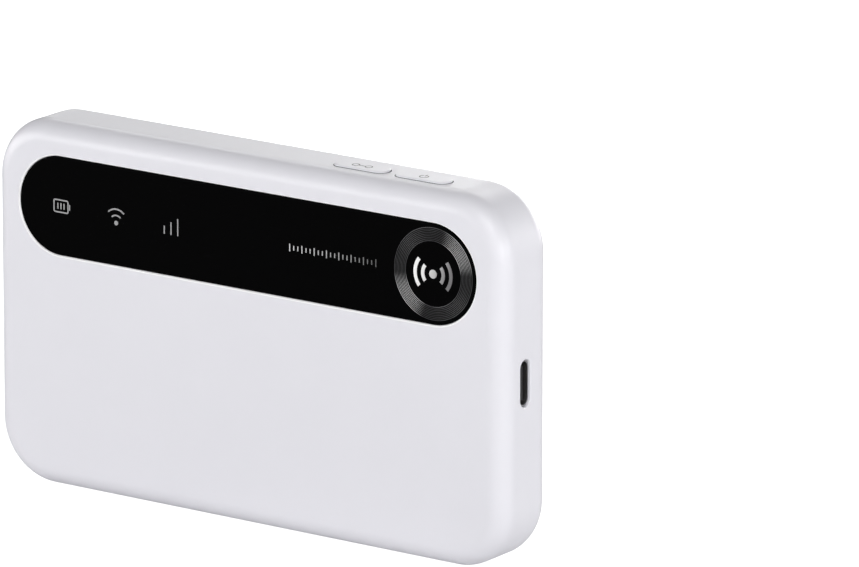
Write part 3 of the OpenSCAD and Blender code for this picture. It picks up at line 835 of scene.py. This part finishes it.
def window_glass():
    """Black window with a rounded edge and the pocket that the ring lies in."""
    length = LENS_HIGH.x - LENS_LOW.x
    width = LENS_HIGH.z - LENS_LOW.z
    edge = 0.12
    rows = [(edge * (1 - math.sin(a)), LENS_LOW.y + edge * (1 - math.cos(a))) for a in QUARTER_TURN]
    rows.append((0, LENS_HIGH.y))
    bm = loft([
        [(u, y, WINDOW_Z + v) for u, v in stadium(length - 2 * inset, width - 2 * inset, 64)]
        for inset, y in rows
    ])
    return piece(
        "window_glass", combine(bm, [("DIFFERENCE", ring_pocket())]), "housing", "window_black",
        "window_lens")


def ring_pocket():
    """Tool that cuts a chamfered groove round the ring, with a little play."""
    play, above = 0.02, 0.5
    face = LENS_LOW.y
    inner, outer = RING_R - RING_W - play, RING_R + play
    flared_in, flared_out = inner - RING_CHAMFER, outer + RING_CHAMFER
    pocket = revolve([
        (flared_in, face - above), (flared_in, face), (inner, face + RING_CHAMFER),
        (inner, RING_HIGH.y), (outer, RING_HIGH.y), (outer, face + RING_CHAMFER),
        (flared_out, face), (flared_out, face - above),
    ], 192)
    bmesh.ops.translate(pocket, vec=(RING_X, 0, WINDOW_Z), verts=pocket.verts)
    return pocket


def grooved_ring():
    """Turned ring: fine ridges with wider grooves between them."""
    inner = RING_R - RING_W
    top, bottom = RING_LOW.y, RING_HIGH.y
    border = 0.1
    pitch = (RING_W - 2 * border) / RING_GROOVES
    samples = 12
    profile = [(inner, bottom), (inner, top + RING_CHAMFER)]
    for i in range(RING_GROOVES * samples + 1):
        t = i / samples
        crest = (0.5 + 0.5 * math.cos(2 * math.pi * t)) ** 3
        profile.append((inner + border + t * pitch, top + RING_GROOVE_T * (1 - crest)))
    profile += [(RING_R, top + RING_CHAMFER), (RING_R, bottom)]
    bm = revolve(profile, 256)
    bmesh.ops.translate(bm, vec=(RING_X, 0, WINDOW_Z), verts=bm.verts)
    return piece("grooved_ring", bm, "housing", "ring_grey", "ring_trim")


# ---------- keys ----------

def key_cap(node, body):
    """Long flat key with a softened top edge, its flange and its stem."""
    low, high = box_mm(node)
    middle = middle_mm(node)
    top = CASE_HIGH.z - WALL - 0.3
    bottom = top - KEY_FLANGE_T
    rows = [
        (KEY_FLANGE_L - 0.1, KEY_FLANGE_W - 0.1, bottom), (KEY_FLANGE_L, KEY_FLANGE_W, bottom + 0.05),
        (KEY_FLANGE_L, KEY_FLANGE_W, top - 0.05), (KEY_FLANGE_L - 0.1, KEY_FLANGE_W - 0.1, top),
        (KEY_L, KEY_W, top),
    ]
    for angle in QUARTER_TURN:
        inset = 2 * KEY_EDGE * (1 - math.cos(angle))
        rows.append((KEY_L - inset, KEY_W - inset, high.z - KEY_EDGE * (1 - math.sin(angle))))
    cap = loft([
        [(middle.x + u, middle.y + v, z) for u, v in stadium(length, width, 32)]
        for length, width, z in rows
    ])
    stem = loft([
        [(middle.x + u, middle.y + v, z) for u, v in round_rect(STEM_L, STEM_W, 0.2, 4)]
        for z in (low.z, bottom + 0.2)
    ])
    return piece(body + "_cap", combine(cap, [("UNION", stem)]), body, "key_white", node)


# ---------- rear skin ----------

MARK_Z = MID_Z - 2.2
MARK_DOT_R = 0.75
MARK_ARCS = (2.6, 4.6)
MARK_STROKE = 0.6
MARK_HALF_ANGLE = 43
MARK_BED = 0.75
MARK_BED_SLOPE = 0.3
MARK_BED_DEPTH = 0.085

GRAIN_STEP = 0.31
CREASE_W = 0.28
CREASE_DEPTH = 0.07
SWELL_DEPTH = 0.02
SEAM_ROLL = 0.3
SEAM_ROLL_DEPTH = 0.07

HALF_W = BODY_W / 2 - CORNER_R
HALF_H = BODY_H / 2 - CORNER_R
CELLS_ACROSS = round(2 * HALF_W / GRAIN_STEP)
CELLS_UP = round(2 * HALF_H / GRAIN_STEP)
CELLS_ROUND = round((CORNER_R - SKIN_INSET) * math.pi / 2 / GRAIN_STEP)

# The grain drifts by noise whose offsets are drawn at random, so the draw has a fixed seed
noise.seed_set(7)


def mark_distance(x, z):
    """Distance from a point on the back to the nearest stroke of the rear mark, below 0 inside it."""
    away = math.hypot(x, z - MARK_Z)
    nearest = away - MARK_DOT_R
    lean = abs(math.degrees(math.atan2(x, z - MARK_Z)))
    end = math.radians(MARK_HALF_ANGLE)
    for radius in MARK_ARCS:
        if lean <= MARK_HALF_ANGLE:
            nearest = min(nearest, abs(away - radius) - MARK_STROKE / 2)
        else:
            end_x, end_z = radius * math.sin(end), MARK_Z + radius * math.cos(end)
            nearest = min(nearest, math.hypot(abs(x) - end_x, z - end_z) - MARK_STROKE / 2)
    return nearest


def grain(point):
    """Depth of the leather grain at a point, in millimetres: pebbles drawn out along one diagonal, with
    creases between them that come and go."""
    x, y, z = point
    lean = math.radians(GRAIN_LEAN)
    along = z * math.cos(lean) - x * math.sin(lean)
    across = x * math.cos(lean) + z * math.sin(lean)
    drift = noise.noise_vector(Vector((x, y, z)) * 0.45)
    base = Vector((along * 0.75 + drift.x * 0.45, across * 1.2 + drift.y * 0.45, y * 0.7))
    near, far = noise.voronoi(base)[0][:2]
    crease = max(0.0, 1 - (far - near) / CREASE_W) ** 1.6
    strength = 0.55 + 0.45 * noise.noise(Vector((x, y, z)) * 0.3)
    swell = 0.5 + 0.5 * noise.noise(Vector((along * 0.5, y, across * 0.9)))
    return CREASE_DEPTH * crease * strength + SWELL_DEPTH * swell


def skin_rows():
    """(inset, y) of the skin's outer face, from the seam inwards to where the corners close."""
    seam_angle = math.degrees(math.acos(1 - SKIN_INSET / EDGE_R))
    rows = soft_edge(EDGE_R, seam_angle, 90, 11, 1)
    flat = CORNER_R - EDGE_R
    steps = round(flat / GRAIN_STEP)
    rows += [(EDGE_R + flat * i / steps, BACK_Y) for i in range(1, steps)]
    return rows


def skin_outline(inset):
    """Points once round the skin, evenly spaced on its straight sides and fanned round its corners."""
    radius = CORNER_R - inset
    points = []
    for quarter, (u, v) in enumerate(((1, 1), (-1, 1), (-1, -1), (1, -1))):
        for i in range(CELLS_ROUND + 1):
            angle = (quarter + i / CELLS_ROUND) * math.pi / 2
            points.append((u * HALF_W + radius * math.cos(angle), v * HALF_H + radius * math.sin(angle)))
        x, z = points[-1]
        sideways = quarter % 2 == 0
        cells = CELLS_ACROSS if sideways else CELLS_UP
        step_x = -u * 2 * HALF_W / cells if sideways else 0
        step_z = 0 if sideways else -v * 2 * HALF_H / cells
        points += [(x + step_x * i, z + step_z * i) for i in range(1, cells)]
    return points


def skin_point(x, y, z, outward, tilt, from_seam=math.inf):
    """A point of the outer face, moved in along its normal by the grain, the mark's bed and the edge."""
    depth = grain((x, y, z))
    press = min(1.0, max(0.0, (MARK_BED - mark_distance(x, z)) / MARK_BED_SLOPE))
    depth = depth * (1 - press) + MARK_BED_DEPTH * press
    depth += SEAM_ROLL_DEPTH * max(0.0, 1 - from_seam / SEAM_ROLL) ** 2
    return (
        x - outward[0] * math.cos(tilt) * depth,
        y - math.sin(tilt) * depth,
        z - outward[1] * math.cos(tilt) * depth,
    )


def grained_skin():
    """The skin of the rear cover: a grid that follows the soft edge, with its grain in the mesh."""
    bm = bmesh.new()
    rings = []
    for number, (inset, y) in enumerate(skin_rows()):
        tilt = math.asin(min(1.0, (y - FLAT_Y) / EDGE_R))
        ring = []
        for x, z in skin_outline(inset):
            corner = (min(max(x, -HALF_W), HALF_W), min(max(z, -HALF_H), HALF_H))
            away = Vector((x - corner[0], z - corner[1])).normalized()
            ring.append(bm.verts.new(skin_point(x, y, MID_Z + z, away, tilt, number * GRAIN_STEP)))
        rings.append(ring)
    for near, far in zip(rings, rings[1:]):
        bridge(bm, near, far)
    fill_middle(bm, rings[-1])
    inner_shell(bm, rings[0])
    bmesh.ops.recalc_face_normals(bm, faces=bm.faces)
    return piece("grained_skin", bm, "cover", "skin_white", "rear_skin")


def fill_middle(bm, ring):
    """Grid inside the innermost ring, whose points run round it as skin_outline gives them."""
    grid = {}
    for i in range(CELLS_ACROSS + 1):
        for k in range(CELLS_UP + 1):
            x = -HALF_W + 2 * HALF_W * i / CELLS_ACROSS
            z = -HALF_H + 2 * HALF_H * k / CELLS_UP
            grid[i, k] = bm.verts.new(skin_point(x, BACK_Y, MID_Z + z, (0, 0), math.pi / 2))
    for i in range(CELLS_ACROSS):
        for k in range(CELLS_UP):
            bm.faces.new((grid[i, k], grid[i + 1, k], grid[i + 1, k + 1], grid[i, k + 1]))
    sides = (
        [grid[CELLS_ACROSS - i, CELLS_UP] for i in range(CELLS_ACROSS + 1)],
        [grid[0, CELLS_UP - k] for k in range(CELLS_UP + 1)],
        [grid[i, 0] for i in range(CELLS_ACROSS + 1)],
        [grid[CELLS_ACROSS, k] for k in range(CELLS_UP + 1)],
    )
    at = 0
    count = len(ring)
    for side in sides:
        for i in range(CELLS_ROUND):
            bm.faces.new((ring[at + i], ring[(at + i + 1) % count], side[0]))
        at += CELLS_ROUND
        for i in range(len(side) - 1):
            bm.faces.new((ring[at + i], ring[(at + i + 1) % count], side[i + 1], side[i]))
        at += len(side) - 1


def inner_shell(bm, outer_ring):
    """Closes the skin: its thin edge at the seam and the smooth face that lies on the cover."""
    radius = EDGE_R - SKIN_T
    start = math.degrees(math.acos((EDGE_R - SKIN_INSET) / radius))
    ring = outer_ring
    for inset, y in soft_edge(radius, start, 90, 6, 1):
        inner = [bm.verts.new((x, y, MID_Z + z)) for x, z in skin_outline(inset)]
        bridge(bm, inner, ring)
        ring = inner
    bm.faces.new(ring)


# ---------- pads ----------

def soft_pads(name, node, body, slot):
    """Each solid of a CAD pad as a soft block: its sides swell and its pressed faces stay flat."""
    swell = 0.15
    bm = bmesh.new()
    source = bmesh.new()
    source.from_mesh(NODES[node].data)
    bmesh.ops.remove_doubles(source, verts=source.verts, dist=1e-7)
    for low, high in islands(source):
        thick = (high.y - low.y) / 2
        middle = (low + high) / 2
        loops = []
        for i in range(9):
            angle = math.radians(-90 + 22.5 * i)
            inset = swell * (1 - math.cos(angle))
            y = middle.y + thick * math.sin(angle)
            outline = round_rect(high.x - low.x - 2 * inset, high.z - low.z - 2 * inset, 1, 6)
            loops.append([(middle.x + u, y, middle.z + v) for u, v in outline])
        loft(loops, bm)
    source.free()
    return piece(name, bm, body, slot, node)


def islands(bm):
    """(lowest, highest) corner of each loose part, in millimetres."""
    seen = set()
    boxes = []
    for first in bm.verts:
        if first in seen:
            continue
        group = [first]
        seen.add(first)
        for vert in group:
            for edge in vert.link_edges:
                other = edge.other_vert(vert)
                if other not in seen:
                    seen.add(other)
                    group.append(other)
        low = Vector(min(v.co[k] for v in group) for k in range(3)) / MM
        high = Vector(max(v.co[k] for v in group) for k in range(3)) / MM
        boxes.append((low, high))
    return boxes


# ---------- CAD nodes that stay ----------

# Width of the softened edges
EDGE_SOFTENING = {
    "usb_shell": 0.06, "usb_tongue": 0.06, "usb_contacts": 0.015, "mid_frame": 0.12,
    "frame_screws": 0.06, "battery_cell": 0.1, "battery_end_cap": 0.1, "battery_connector": 0.08,
    "rear_cover": 0.1, "sim_shell": 0.04, "reset_button": 0.08, "baseband_shield": 0.08,
    "wifi_shield": 0.08, "rf_shield": 0.08, "modem_chip": 0.06, "memory_chip": 0.06,
    "power_chip": 0.06, "wifi_chip": 0.06, "rf_chips": 0.05, "key_switches": 0.06,
    "board_passives": 0.06, "battery_terminals": 0.03,
}
# Nodes with a print of their own in place of their slot's material
OWN_MATERIAL = {
    "tick_row": "fading_print", "power_mark": "key_ink", "wps_mark": "key_ink",
    "battery_label": "battery_print", "rating_label": "rating_print",
}


def finish_cad_node(name):
    """The CAD shape as it is, in its material, with its machined edges softened by modifiers."""
    node = NODES[name]
    node.data.materials.clear()
    node.data.materials.append(material(OWN_MATERIAL.get(name, SLOT_OF[name])))
    weld = node.modifiers.new("weld", "WELD")
    weld.merge_threshold = 0.0005 * MM
    flat = node.modifiers.new("flat_faces", "DECIMATE")
    flat.decimate_type = "DISSOLVE"
    flat.angle_limit = math.radians(0.5)
    width = EDGE_SOFTENING.get(name, 0)
    if width:
        bevel = node.modifiers.new("soft_edges", "BEVEL")
        bevel.width = width * MM
        bevel.segments = 2
        bevel.limit_method = "ANGLE"
        bevel.angle_limit = math.radians(40)
    follow_large_faces(node)


# ---------- stage ----------

FLOOR_HALF = 1.4
LAMP_DISTANCE = 1.2
LAMP_H = 0.4
# Name, azimuth, elevation, width in metres, radiance
LAMPS = (
    ("front_left", -60, 8, 1.6, 5.1),
    ("front_right", 30, 8, 0.55, 2.0),
    ("front_high", 30, 38, 0.55, 6.8),
    ("right_front", 60, 3, 0.3, 14),
    ("right", 90, 8, 0.55, 5.4),
    ("rear", 180, 8, 1.6, 4.6),
    ("rear_left", -150, 8, 0.55, 1.9),
    ("rear_left_high", -150, 38, 0.8, 4.3),
)

# The camera looks at a point right of the object's middle, so that the object stands on the left
CAMERA_AZIMUTH = 35.372
CAMERA_ELEVATION = 14.862
CAMERA_TARGET = Vector((0.0295965, 0.0112052, 0.0484407))
CAMERA_DISTANCE = 1.708
CAMERA_ROLL = 0.075
CAMERA_LENS = 378.316


def floor():
    """Wide plain sheet that the object stands on, pure white where it is seen directly."""
    bm = bmesh.new()
    corners = ((-1, -1), (1, -1), (1, 1), (-1, 1))
    bm.faces.new([bm.verts.new((u * FLOOR_HALF, v * FLOOR_HALF, 0)) for u, v in corners])
    made = new_object("floor", bm)
    mat, principled = shader("floor_pale", (0.72, 0.72, 0.725), 0.7, Specular_Ior_Level=0.1)
    principled.inputs["Emission Color"].default_value = (1, 1, 1, 1)
    drive(mat, principled, "Emission Strength", add(mat, "LightPath").outputs["Is Camera Ray"])
    color = blend_colors(mat, speckle(mat, 60, 3), (0.71, 0.71, 0.715), (0.73, 0.73, 0.735))
    drive(mat, principled, "Base Color", color)
    made.data.materials.append(mat)


def direction(azimuth, elevation):
    """Unit vector away from the object: azimuth 0 is its front, 90 its right side."""
    turn, lift = math.radians(azimuth), math.radians(elevation)
    return Vector((math.sin(turn) * math.cos(lift), -math.cos(turn) * math.cos(lift), math.sin(lift)))


def soft_box(name, azimuth, elevation, width, radiance):
    """Area lamp that faces the object from a direction, with the given width and brightness."""
    lamp = bpy.data.lights.new(name, "AREA")
    lamp.shape = "RECTANGLE"
    lamp.size = width
    lamp.size_y = LAMP_H
    lamp.energy = radiance * math.pi * width * LAMP_H
    made = bpy.data.objects.new(name, lamp)
    away = direction(azimuth, elevation)
    made.location = Vector((0, 0, BODY_H / 2 * MM)) + away * LAMP_DISTANCE
    made.rotation_euler = away.to_track_quat("Z", "Y").to_euler()
    bpy.context.scene.collection.objects.link(made)


def studio():
    """White surroundings that give no light, and soft lamps round the object."""
    world = bpy.data.worlds.new("studio")
    bpy.context.scene.world = world
    world.use_nodes = True
    tree = world.node_tree
    background = tree.nodes["Background"]
    background.inputs["Color"].default_value = (1, 1, 1, 1)
    path = tree.nodes.new("ShaderNodeLightPath")
    tree.links.new(path.outputs["Is Camera Ray"], background.inputs["Strength"])
    for lamp in LAMPS:
        soft_box(*lamp)


def camera():
    """Long lens to the right of the front and a little above."""
    lens = bpy.data.cameras.new("camera")
    lens.sensor_width = 36
    lens.lens = CAMERA_LENS
    lens.clip_start = 0.01
    made = bpy.data.objects.new("camera", lens)
    away = direction(CAMERA_AZIMUTH, CAMERA_ELEVATION)
    made.location = CAMERA_TARGET + away * CAMERA_DISTANCE
    made.rotation_euler = away.to_track_quat("Z", "Y").to_euler()
    made.rotation_euler.rotate_axis("Z", math.radians(CAMERA_ROLL))
    bpy.context.scene.collection.objects.link(made)
    bpy.context.scene.camera = made


# ---------- build ----------

bpy.context.scene.view_settings.view_transform = "Standard"
camera()
studio()
floor()
case_shell()
window_glass()
grooved_ring()
for key, body in KEYS.items():
    key_cap(key, body)
grained_skin()
soft_pads("cover_foam_pads", "cover_foam", "cover", "foam_black")
soft_pads("chip_thermal_pad", "thermal_pad", "housing", "pad_blue")
soft_pads("spreader_thermal_pad", "spreader_pad", "housing", "pad_blue")
for name in sorted(NODES):
    if not NODES[name].hide_render:
        finish_cad_node(name)
